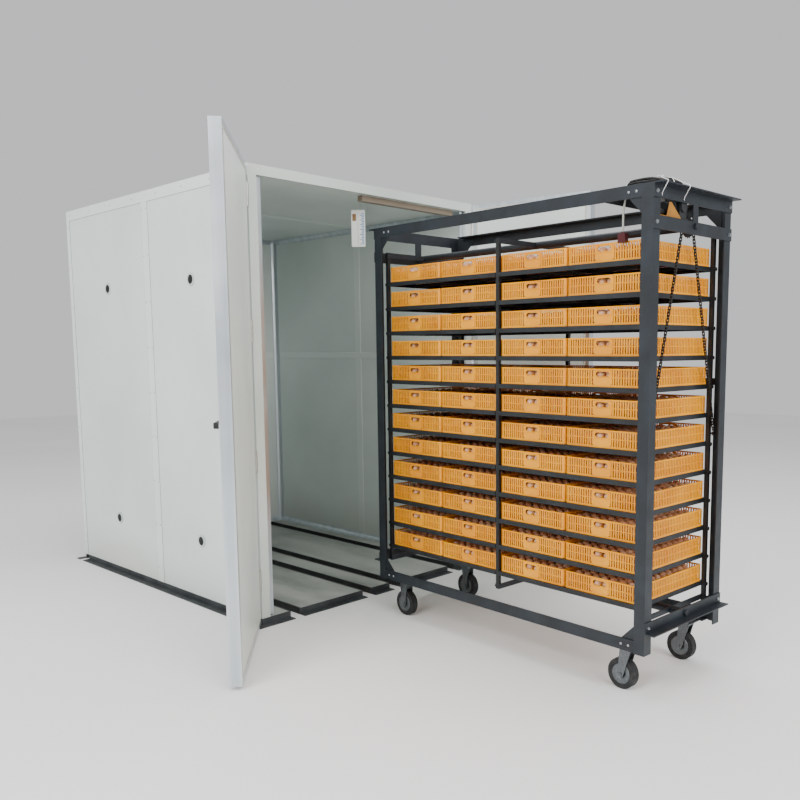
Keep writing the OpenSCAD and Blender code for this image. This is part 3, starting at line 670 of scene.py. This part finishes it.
def basket_parts(width, length, height):
    """Slotted wall bars between three rails, a slatted floor, dividers, and a slot to hold by.

    All in metres from the basket's low corner; the walls' bars repeat at an even pitch, and leave
    out the plain patch in the middle of the two sides that have the hand slot.
    """
    corner, pitch, bar, skin_t = 14 * MM, 12.2 * MM, 6.4 * MM, 2.6 * MM
    low_rail, mid_rail, rim = 9 * MM, 39 * MM, height - 6 * MM
    rails = []
    for z0, z1, out, thick in ((0, low_rail, 0, 4), (mid_rail - 2 * MM, mid_rail + 2 * MM, 0, 4),
                               (rim, height, 0, 7)):
        soft = 1 * MM
        profile = [(out + soft, z1), (out, z1 - soft), (out, z0 + soft), (out + soft, z0),
                   (thick * MM, z0), (thick * MM, z1)]
        rails.append(rounded_rail(width, length, corner, profile))
    wall = rounded_rail(width, length, corner, [(1 * MM, rim), (1 * MM, 0), (3 * MM, 0), (3 * MM, rim)])
    # only the four round corners of the wall are closed
    points, faces = wall
    corner_rows = faces[0].reshape(20, 4, 4)[[k for k in range(20) if k % 5 != 4]]
    parts = rails + [(points, [corner_rows.reshape(-1, 4)])]

    patch = 47 * MM
    long_at = np.arange(corner + 5 * MM, width - corner - 5 * MM, pitch)
    short_at = np.arange(corner + 5 * MM, length - corner - 5 * MM, pitch)
    short_at = short_at[np.abs(short_at + bar / 2 - length / 2) > patch + bar]
    for y in (0.8 * MM, length - 0.8 * MM - skin_t):
        low = np.column_stack([long_at, 0 * long_at + y, 0 * long_at + low_rail - 1 * MM])
        parts.append(boxes(low, low + [bar, skin_t, rim - low_rail + 2 * MM]))
    for x in (0.8 * MM, width - 0.8 * MM - skin_t):
        low = np.column_stack([0 * short_at + x, short_at, 0 * short_at + low_rail - 1 * MM])
        parts.append(boxes(low, low + [skin_t, bar, rim - low_rail + 2 * MM]))

    slot_z = 53 * MM
    plate = holed_plate(patch, slot_z - low_rail + 1 * MM, rim - slot_z, 34 * MM, 10 * MM, 0, skin_t)
    lip = holed_plate(38.5 * MM, 14 * MM, 14 * MM, 34 * MM, 10 * MM, -1 * MM, skin_t + 1 * MM)
    for x, inward in ((1 * MM, 1), (width - 1 * MM, -1)):
        side = Place((x, length / 2, slot_z), (0, -inward, 0), (inward, 0, 0))
        parts += [put(plate, side), put(lip, side)]

    slats_x = np.linspace(6 * MM, width - 15 * MM, 24)
    slats_y = np.linspace(6 * MM, length - 15 * MM, 17)
    edge, slat = 4 * MM, 9 * MM
    low = np.column_stack([slats_x, 0 * slats_x + edge, 0 * slats_x])
    parts.append(boxes(low, low + [slat, length - 2 * edge, 4 * MM]))
    low = np.column_stack([0 * slats_y + edge, slats_y, 0 * slats_y + 0.4 * MM])
    parts.append(boxes(low, low + [width - 2 * edge, slat, 3 * MM]))
    cells_x, cells_y = np.linspace(edge, width - edge, 12)[1:-1], np.linspace(edge, length - edge, 9)[1:-1]
    low = np.column_stack([cells_x - 0.7 * MM, 0 * cells_x + edge, 0 * cells_x + 4 * MM])
    parts.append(boxes(low, low + [1.4 * MM, length - 2 * edge, 46 * MM]))
    low = np.column_stack([0 * cells_y + edge, cells_y - 0.7 * MM, 0 * cells_y + 4 * MM])
    parts.append(boxes(low, low + [width - 2 * edge, 1.4 * MM, 44 * MM]))
    return joined(parts)


def egg(radius, half):
    """Egg turned round z: radius R sin t (1 - 0.13 cos t), height from -half cos t, blunt end up."""
    t = np.linspace(0.16, math.pi - 0.12, 6)
    return turned(np.column_stack([radius * np.sin(t) * (1 - 0.13 * np.cos(t)), -half * np.cos(t)]), 9)


def make_baskets():
    """Four baskets on each shelf, each with eight rows of eleven eggs, big end up."""
    x0, x1 = trolley.span("baskets_01", 0)
    along = (corners_of("baskets_01") - trolley.origin) @ trolley.axes[1]
    edges = np.unique(np.round(along, 4)).reshape(4, 4)
    length = edges[0, 3] - edges[0, 0]
    height = np.ptp(trolley.span("baskets_01", 2))
    unit = basket_parts(x1 - x0, length, height)
    baskets = repeat(unit, [[x0, y, 0] for y in edges[:, 0]])
    grid_x = (np.arange(11) + 0.5) * (x1 - x0 - 8 * MM) / 11 + x0 + 4 * MM
    grid_y = (np.arange(8) + 0.5) * (length - 8 * MM) / 8 + 4 * MM
    one = egg(21.3 * MM, 28.5 * MM)
    for level in range(1, 13):
        low = trolley.span(f"baskets_{level:02d}", 2)[0]
        piece(f"egg_baskets_{level:02d}", [put(baskets, trolley, (0, 0, low))], basket_plastic,
              f"shelf_{level:02d}", replaced=(f"baskets_{level:02d}",))
        x, y = np.meshgrid(grid_x, np.concatenate([edges[k, 0] + grid_y for k in range(4)]))
        at = np.column_stack([x.ravel(), y.ravel(), np.full(x.size, 38 * MM)])
        at[:, :2] += random.normal(0, 0.5 * MM, (len(at), 2))
        at[:, 2] += random.uniform(-1.5, 1.5, len(at)) * MM
        spin = random.uniform(0, 2 * math.pi, len(at))
        piece(f"eggs_{level:02d}", [put(repeat(one, at, spin), trolley, (0, 0, low))], shell,
              f"shelf_{level:02d}", smooth=True)


make_baskets()


# ---------- chains ----------

def link_parts(run, pitch=12.7 * MM):
    """Roller chain along z: pairs of waisted plates, in turn inside and outside, and their rollers."""
    count = int(run / pitch)
    t = np.linspace(0, 2 * math.pi, 12, endpoint=False)
    ends = np.column_stack([4.2 * MM * np.cos(t), 4.2 * MM * np.sin(t) + np.sign(np.sin(t)) * pitch / 2])
    plate = extruded(ends * [0.86, 1], 1.2 * MM)
    upright = Place((0, 0, 0), (1, 0, 0), (0, 0, 1), (0, -1, 0))
    plates = []
    for k, gaps in enumerate(((2.6, -3.8), (4.0, -5.2))):
        at = (np.arange(k, count, 2) + 0.5) * pitch
        for gap in gaps:
            one = put(plate, upright)
            shift = np.column_stack([0 * at, 0 * at - gap * MM, at])
            plates.append(repeat(one, shift))
    roller = turned([(2.2 * MM, -5.2 * MM), (3.9 * MM, -2.6 * MM), (3.9 * MM, 2.6 * MM),
                     (2.2 * MM, 5.2 * MM)], 8)
    at = np.arange(count + 1) * pitch
    plates.append(repeat(put(roller, upright), np.column_stack([0 * at, 0 * at, at])))
    return joined(plates)


def make_chains():
    """Two runs from the sprocket's sides down to the end rods."""
    chain_y = np.mean(trolley.span("drive_chains", 1))
    top, low = (trolley.span("drive_chains", 2)[k] for k in (1, 0))
    hub_x = tr_w / 2
    for side, hand in (("left", -1), ("right", 1)):
        reach_top = 41 * MM
        reach_low = (trolley.span("drive_chains", 0)[1] - hub_x) - 6 * MM
        head = np.array([hub_x + hand * reach_top, chain_y, min(top, shaft_z - 8 * MM)])
        foot = np.array([hub_x + hand * reach_low, chain_y, low + 2 * MM])
        lean = (head - foot) / np.linalg.norm(head - foot)
        along = lean @ trolley.axes
        place = Place(trolley.row(foot), np.cross(roll_axis, along), roll_axis, along)
        run = np.linalg.norm(head - foot)
        made = piece(f"{side}_chain_run", [put(link_parts(run), place)], chain_steel,
                     "rocker_top")
        made.parent = None
        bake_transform(made)
        if side == "right":
            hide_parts("drive_chains")


make_chains()


# ---------- cabinet trim, seals and fasteners ----------

def cove(radius, length, steps=8):
    """Hollow corner strip: a quarter circle scooped out of a corner, carried along z."""
    t = np.linspace(0, math.pi / 2, steps)
    arc = np.column_stack([radius - radius * np.sin(t), radius - radius * np.cos(t)])
    return extruded(np.concatenate([[(0, 0)], arc[::-1]]), length)


def make_coves():
    """Coves where the walls meet the ceiling, the floor, the back wall and the front frame."""
    x0, y0, z0 = -inner_x, inner_front, floor_top
    x1, y1, z1 = inner_x, inner_back, ceiling_z
    r = 34 * MM
    parts = []
    for x, side in ((x0, 1), (x1, -1)):
        parts.append(put(cove(r, z1 - z0), Place((x, y1, z0), (side, 0, 0), (0, -1, 0))))
        parts.append(put(cove(r, z1 - z0), Place((x, y0, z0), (side, 0, 0), (0, 1, 0))))
        parts.append(put(cove(r, y1 - y0), Place((x, y0, z0), (side, 0, 0), (0, 0, 1), (0, 1, 0))))
        parts.append(put(cove(r, y1 - y0), Place((x, y0, z1), (side, 0, 0), (0, 0, -1), (0, 1, 0))))
    parts.append(put(cove(r, x1 - x0), Place((x0, y1, z1), (0, -1, 0), (0, 0, -1), (1, 0, 0))))
    parts.append(put(cove(r, x1 - x0), Place((x0, y1, z0), (0, -1, 0), (0, 0, 1), (1, 0, 0))))
    piece("inner_coves", parts, lintel_alloy, "cabinet")


def strip(width, thick, length):
    """Low cover strip with sloping edges, carried along z; its back lies on y = 0."""
    half, edge = width / 2, 3 * MM
    return extruded([(-half, 0), (half, 0), (half - edge, thick), (-half + edge, thick)], length)


def make_inner_strips():
    """Strips over the panels' joints inside, and a rubbing batten round the walls."""
    joint, batten = (60 * MM, 2 * MM), (44 * MM, 3 * MM)
    foot, batten_z = 0.07, 1.36
    parts = []
    for x, side in ((-inner_x, 1), (inner_x, -1)):
        parts.append(put(strip(*joint, 2.14), Place((x, 0, foot), (0, 1, 0), (side, 0, 0))))
        parts.append(put(strip(*batten, 1.94),
                         Place((x, -0.99, batten_z), (0, 0, 1), (side, 0, 0), (0, 1, 0))))
    parts.append(put(strip(*joint, 2.14), Place((0, inner_back, foot), (1, 0, 0), (0, -1, 0))))
    parts.append(put(strip(*batten, 1.45),
                     Place((-0.725, inner_back, batten_z), (0, 0, 1), (0, -1, 0), (1, 0, 0))))
    parts.append(put(strip(*joint, 1.44), Place((-0.72, 0, ceiling_z), (0, 1, 0), (0, 0, -1), (1, 0, 0))))
    piece("inner_joint_strips", parts, trim_steel, "cabinet")


def make_vents():
    """Eight vent inserts: a dished black ring with a bar grid in each vent's recess, their black painted
    shade for the dark inside the vent holes.
    """
    parts = []
    ring = turned([(24.8 * MM, 0.1 * MM), (24.8 * MM, 3.8 * MM), (21 * MM, 1.2 * MM), (0.5 * MM, 0.6 * MM),
                   (0.5 * MM, 0.1 * MM)], 32, ring=True)
    rows = np.arange(-15, 16, 6) * MM
    half = np.sqrt((22 * MM) ** 2 - rows ** 2)
    bars = boxes(np.column_stack([-half, rows - 1 * MM, 0 * rows + 0.6 * MM]),
                 np.column_stack([half, rows + 1 * MM, 0 * rows + 2.6 * MM]))
    for side in (-1, 1):
        for y in (-0.480, 0.495):
            for z in (0.355, 1.780):
                place = Place((side * trim_x, y, z), (0, side, 0), (0, 0, 1), (side, 0, 0))
                parts += [put(ring, place), put(bars, place)]
    # The inserts' black is painted shade, standing for the dark inside each vent hole.
    piece("vent_shade_inserts", parts, dark_plastic, "cabinet")


def rivet(radius, height):
    """Low dome: rings at the foot, shoulder and crown."""
    return turned([(radius, 0), (0.8 * radius, 0.6 * height), (0.35 * radius, height)], 8)


def make_rivets():
    """Pop rivets along the seam strips, corner angles and roof caps."""
    one = rivet(4 * MM, 1.8 * MM)
    parts = []
    heights = np.linspace(0.12, 2.20, 9)
    cap_z = 2.27
    for side in (-1, 1):
        place = Place((side * trim_x, 0, 0), (0, side, 0), (0, 0, 1), (side, 0, 0))
        for y in (-0.024, 0.024, 1.02):
            column = np.column_stack([side * y + 0 * heights, heights, 0 * heights])
            parts.append(put(repeat(one, column), place))
        runs = np.linspace(-0.98, 0.98, 8)
        parts.append(put(repeat(one, np.column_stack([side * runs, cap_z + 0 * runs, 0 * runs])), place))
    rear = Place((0, trim_back, 0), (-1, 0, 0), (0, 0, 1), (0, 1, 0))
    for x in (-0.79, -0.024, 0.024, 0.79):
        parts.append(put(repeat(one, np.column_stack([x + 0 * heights, heights, 0 * heights])), rear))
    runs = np.linspace(-0.75, 0.75, 6)
    parts.append(put(repeat(one, np.column_stack([runs, cap_z + 0 * runs, 0 * runs])), rear))
    piece("trim_rivets", parts, bolt_zinc, "cabinet", smooth=True)


def make_sealant():
    """A thin bead of sealant along both edges of each seam strip, and under the roof caps."""
    half, low, top = 36 * MM, 0.036, 2.239
    parts = []
    for side in (-1, 1):
        place = Place((side * skin_x, 0, 0), (0, side, 0), (0, 0, 1), (side, 0, 0))
        edge = side * 0.998
        for y in (-half, half, edge):
            parts.append(put(boxes([[y - 1.2 * MM, low, 0]], [[y + 1.2 * MM, top, 1.4 * MM]]), place))
        parts.append(put(boxes([[-1.035, top - 1 * MM, 0]], [[1.035, top + 1 * MM, 1.6 * MM]]), place))
    rear = Place((0, skin_back, 0), (-1, 0, 0), (0, 0, 1), (0, 1, 0))
    for x in (-half, half, -0.769, 0.769):
        parts.append(put(boxes([[x - 1.2 * MM, low, 0]], [[x + 1.2 * MM, top, 1.4 * MM]]), rear))
    parts.append(put(boxes([[-0.8, top - 1 * MM, 0]], [[0.8, top + 1 * MM, 1.6 * MM]]), rear))
    piece("joint_sealant", parts, grey_sealant, "cabinet")


def make_plank_edges():
    """A thin dark angle on each floor board's two long edges, along the wheel channels."""
    channels = [(-0.634, -0.574), (-0.134, -0.074), (0.074, 0.134), (0.574, 0.634)]
    y0, y1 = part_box("floor_planks")[0].y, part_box("floor_planks")[1].y
    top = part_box("floor_planks")[1].z
    outline = [(0, 0.0008), (-9 * MM, 0.0008), (-9 * MM, 0), (0, 0)]
    parts = []
    for left, right in channels:
        for x, inward in ((left, 1), (right, -1)):
            place = Place((x, y0, top), (inward, 0, 0), (0, 0, 1), (0, 1, 0))
            parts.append(put(extruded(outline[::-1], y1 - y0), place))
    piece("board_edge_angles", parts, base_steel, "cabinet")


def make_door_trim(side, place):
    """Aluminium channel round the door's four edges, and a seal on its inner face."""
    node = f"{side}_door"
    x0, x1 = place.span(node, 0)
    outer, inner = place.span(node, 1)
    outer += 6 * MM
    z0, z1 = place.span(node, 2)
    t, reach = 1.2 * MM, 22 * MM
    channel = [(-t, outer - t), (-t, inner + t), (reach, inner + t), (reach, inner), (0, inner),
               (0, outer), (reach, outer), (reach, outer - t)]
    piece(f"{side}_door_edge", [put(mitred(x0, x1, z0, z1, channel), place)], lintel_alloy,
          f"door_{side}")
    seal = [(reach + 2 * MM, inner), (reach + 4 * MM, inner + 2 * MM), (reach + 9 * MM, inner + 2 * MM),
            (reach + 11 * MM, inner)]
    piece(f"{side}_door_seal", [put(mitred(x0, x1, z0, z1, seal), place)], seal_rubber,
          f"door_{side}")
    screw = rivet(4 * MM, 1.6 * MM)
    face = Place(place.origin, place.axes[0], UP, -place.axes[1])
    hinge_heights = (2.15, 1.493, 0.846, 0.235)
    hinge_at = [[x0 + 20 * MM, z + dz, -outer + t] for z in hinge_heights for dz in (-0.04, 0, 0.04)]
    piece(f"{side}_door_screws", [put(repeat(screw, hinge_at), face)], bolt_zinc,
          f"door_{side}", smooth=True)


make_coves()
make_inner_strips()
make_vents()
make_rivets()
make_sealant()
make_plank_edges()
make_door_trim("left", left_door)
make_door_trim("right", right_door)


# ---------- thermometer ----------

def make_thermometer():
    """A moulded case over the card, with a brown print, blue scale marks and two wires."""
    points = corners_of("thermometer_card")
    card_top = 2.1995
    card = points[points[:, 2] < card_top]
    centre = (card.min(0) + card.max(0)) / 2
    turn = math.radians(-42)
    along, through = (math.cos(turn), math.sin(turn), 0), (-math.sin(turn), math.cos(turn), 0)
    low, high = card[:, 2].min(), card[:, 2].max()
    place = Place((centre[0], centre[1], low), along, through)
    tall = high - low
    body = rounded_case(78 * MM, 9 * MM, tall)
    piece("thermometer_case", [put(body, place)], card_plastic, "cabinet", bevel=1 * MM,
          replaced=("thermometer_card",))
    front = -5.1 * MM
    label = boxes([[-33 * MM, front, tall - 62 * MM]], [[-12 * MM, front + 1 * MM, tall - 22 * MM]])
    piece("thermometer_print", [put(label, place)], card_brown, "cabinet")
    marks = np.arange(14 * MM, tall - 18 * MM, 9 * MM)
    wide = np.where(np.arange(len(marks)) % 3 == 0, 24, 15) * MM
    low_marks = np.column_stack([34 * MM - wide, 0 * marks + front, marks])
    high_marks = np.column_stack([0 * marks + 34 * MM, 0 * marks + front + 1 * MM, marks + 4.5 * MM])
    piece("thermometer_scale", [put(boxes(low_marks, high_marks), place)], card_blue, "cabinet")
    column_y = front + 0.2 * MM
    capillary = tube([(0, column_y, 12 * MM), (0, column_y, 90 * MM), (0, column_y, tall - 16 * MM)],
                     1.6 * MM)
    ceiling = ceiling_z - low
    hook = smooth_path([(0, 0, tall - 3 * MM), (-4 * MM, 0, tall + 12 * MM), (3 * MM, 0, tall + 34 * MM),
                        (2 * MM, 0, ceiling)], 20)
    loop = smooth_path([(14 * MM, 0, tall - 2 * MM), (30 * MM, 0, tall - 10 * MM),
                        (40 * MM, 0, tall + 8 * MM), (26 * MM, 0, tall + 30 * MM), (8 * MM, 0, ceiling)], 24)
    wires = [capillary, tube(hook, 1.5 * MM, side=(0, 1, 0)), tube(loop, 1.4 * MM, side=(0, 1, 0))]
    piece("thermometer_wires", [put(wire, place) for wire in wires], tie_plastic, "cabinet",
          smooth=True)


def rounded_case(width, depth, height):
    """A slab with rounded corners seen from the front: its outline carried through its depth."""
    radius = 7 * MM
    turn = np.concatenate([np.linspace(q, q + 1, 5) for q in range(4)]) * math.pi / 2
    cx = np.repeat([width / 2 - radius, radius - width / 2, radius - width / 2, width / 2 - radius], 5)
    cz = np.repeat([height - radius, height - radius, radius, radius], 5)
    outline = np.column_stack([cx + radius * np.cos(turn), cz + radius * np.sin(turn)])
    slab = extruded(outline, depth)
    return put(slab, Place((0, depth / 2, 0), (1, 0, 0), (0, 0, 1), (0, -1, 0)))


make_thermometer()


# ---------- trolley fittings ----------

def make_trolley_bolts():
    """Hex bolts with washers on the end beams, the gussets and the caster plates."""
    head = turned([(9 * MM, 0), (9 * MM, 1.5 * MM), (6.5 * MM, 1.6 * MM), (6.5 * MM, 5.5 * MM),
                   (5.6 * MM, 6.4 * MM)], 6)
    parts = []
    for y, out in ((-5 * MM, -1), (tr_l + 5 * MM, 1)):
        place = Place(trolley.row((0, y, 0)), trolley.axes[0] * -out, UP, trolley.axes[1] * out)
        at = [(-out * x, z, 0) for x in (0.02, tr_w - 0.02) for z in (1.985, 1.872, 0.298)]
        parts.append(put(repeat(head, at), place))
    for x, out in ((0.0, -1), (tr_w, 1)):
        place = Place(trolley.row((x, 0, 0)), trolley.axes[1] * out, UP, trolley.axes[0] * out)
        at = [(out * y, z, 0) for y in (0.075, 0.11, tr_l - 0.075, tr_l - 0.11) for z in (1.99, 0.214)]
        parts.append(put(repeat(rivet(6 * MM, 3 * MM), at), place))
    piece("trolley_bolts", parts, bolt_zinc, "trolley")


def make_wheel_discs():
    """Pressed hub discs with a raised rim and a bearing boss on both sides of each wheel."""
    disc = turned([(16.4 * MM, 0), (40 * MM, 0), (44 * MM, 1.6 * MM), (40 * MM, 1.6 * MM),
                   (30 * MM, 0.8 * MM), (17 * MM, 1.4 * MM)], 40, ring=True)
    for name in ("near_left", "near_right", "far_left", "far_right"):
        spin = joints[f"wheel_{name}_spin"]
        axle = np.array(spin["axis"], float)
        flat = np.cross(UP, axle)
        parts = []
        for hand in (-1, 1):
            place = Place(np.array(spin["pos_m"]) + hand * 17 * MM * axle, flat * hand, UP, axle * hand)
            parts.append(put(disc, place))
        piece(f"{name}_wheel_discs", parts, fork_zinc, f"wheel_{name}", smooth=True)


def make_ties():
    """Three ties round the coil, and two white strings from it over the end beam."""
    parts = []
    deck = trolley.span("cable_coil", 2)[0]
    lip = trolley.span("trolley_bars", 1)[0]
    for x, back_x in ((0.022, 0.150), (0.180, 0.215)):
        path = smooth_path([(back_x, 0.082, deck + 51 * MM), (back_x - 12 * MM, 0.045, deck + 46 * MM),
                            (x + 14 * MM, -0.010, deck + 18 * MM), (x, lip - 0.5 * MM, deck + 3 * MM),
                            (x, lip - 3 * MM, deck - 3 * MM), (x + 6 * MM, lip + 10 * MM, deck - 17 * MM),
                            (x + 26 * MM, -8 * MM, deck - 38 * MM),
                            (x + 36 * MM, -2.2 * MM, deck - 52 * MM)], 40)
        parts.append(put(tube(path, 1.5 * MM), trolley))
    middle = (np.ptp(trolley.span("cable_coil", 0)) - np.ptp(trolley.span("cable_coil", 2))) / 2
    centre_x, centre_y = (np.mean(trolley.span("cable_coil", k)) for k in range(2))
    loop = [(29.4 * MM, -2 * MM), (29.4 * MM, 2 * MM), (28.2 * MM, 2 * MM), (28.2 * MM, -2 * MM)]
    for angle in (0.6, 2.6, 4.4):
        outward = math.cos(angle) * trolley.axes[0] + math.sin(angle) * trolley.axes[1]
        at = trolley.row((centre_x, centre_y, deck + 26 * MM)) + middle * outward
        parts.append(put(turned(loop, 24, ring=True), Place(at, outward, UP * 0.88, np.cross(outward, UP))))
    piece("cable_ties", parts, tie_plastic, "trolley", smooth=True)


def make_motor_parts():
    """Cooling ribs, a capacitor and a terminal box on the motor, and its folded bracket."""
    low = trolley.span("drive_motor", 2)[0]
    axis_z, axis_y = low + 34 * MM, 33 * MM
    rib = turned([(24 * MM, -1 * MM), (26.5 * MM, -0.8 * MM), (26.5 * MM, 0.8 * MM), (24 * MM, 1 * MM)],
                 32, ring=True)
    place = Place(trolley.row((0, axis_y, axis_z)), trolley.axes[1], UP, trolley.axes[0])
    ribs = repeat(rib, [[0, 0, x * MM] for x in range(120, 164, 5)])
    can = turned([(11 * MM, 0), (12 * MM, 1.5 * MM), (12 * MM, 46 * MM), (11 * MM, 48 * MM)], 24)
    beside = Place(trolley.row((0.056, 0.026, low + 18 * MM)), trolley.axes[1], UP, trolley.axes[0])
    box = boxes([[0.178, 0.010, low + 64 * MM]], [[0.198, 0.056, low + 84 * MM]])
    piece("motor_fittings", [put(ribs, place), put(can, beside), put(box, trolley)], dark_plastic,
          "trolley", bevel=0.6 * MM)
    cheek = extruded([(0.100, 0), (0.200, 0), (0.200, 4 * MM), (0.132, 56 * MM), (0.118, 56 * MM),
                      (0.100, 6 * MM)], 2 * MM)
    front = Place(trolley.row((0, 4.2 * MM, low)), trolley.axes[0], UP, -trolley.axes[1])
    arm = boxes([[0.040, 3 * MM, low - 0.2 * MM]], [[0.112, 40 * MM, low + 2.6 * MM]])
    piece("motor_bracket", [put(cheek, front), put(arm, trolley)], bracket_enamel, "trolley",
          bevel=0.5 * MM)


def make_sprocket_teeth():
    """Eighteen rounded teeth round the chain wheel."""
    chain_y = np.mean(trolley.span("drive_chains", 1))
    tooth = extruded([(-3.4 * MM, 36 * MM), (3.4 * MM, 36 * MM), (2.2 * MM, 41 * MM), (1 * MM, 43 * MM),
                      (-1 * MM, 43 * MM), (-2.2 * MM, 41 * MM)], 4 * MM)
    hub = trolley.row((tr_w / 2, chain_y - 2 * MM, shaft_z))
    place = Place(hub, -trolley.axes[0], UP, trolley.axes[1])
    teeth = repeat(tooth, np.zeros((18, 3)), np.arange(18) * math.pi / 9)
    piece("sprocket_teeth", [put(teeth, place)], chain_steel, "rocker_top")


make_trolley_bolts()
make_wheel_discs()
make_ties()
make_motor_parts()
make_sprocket_teeth()
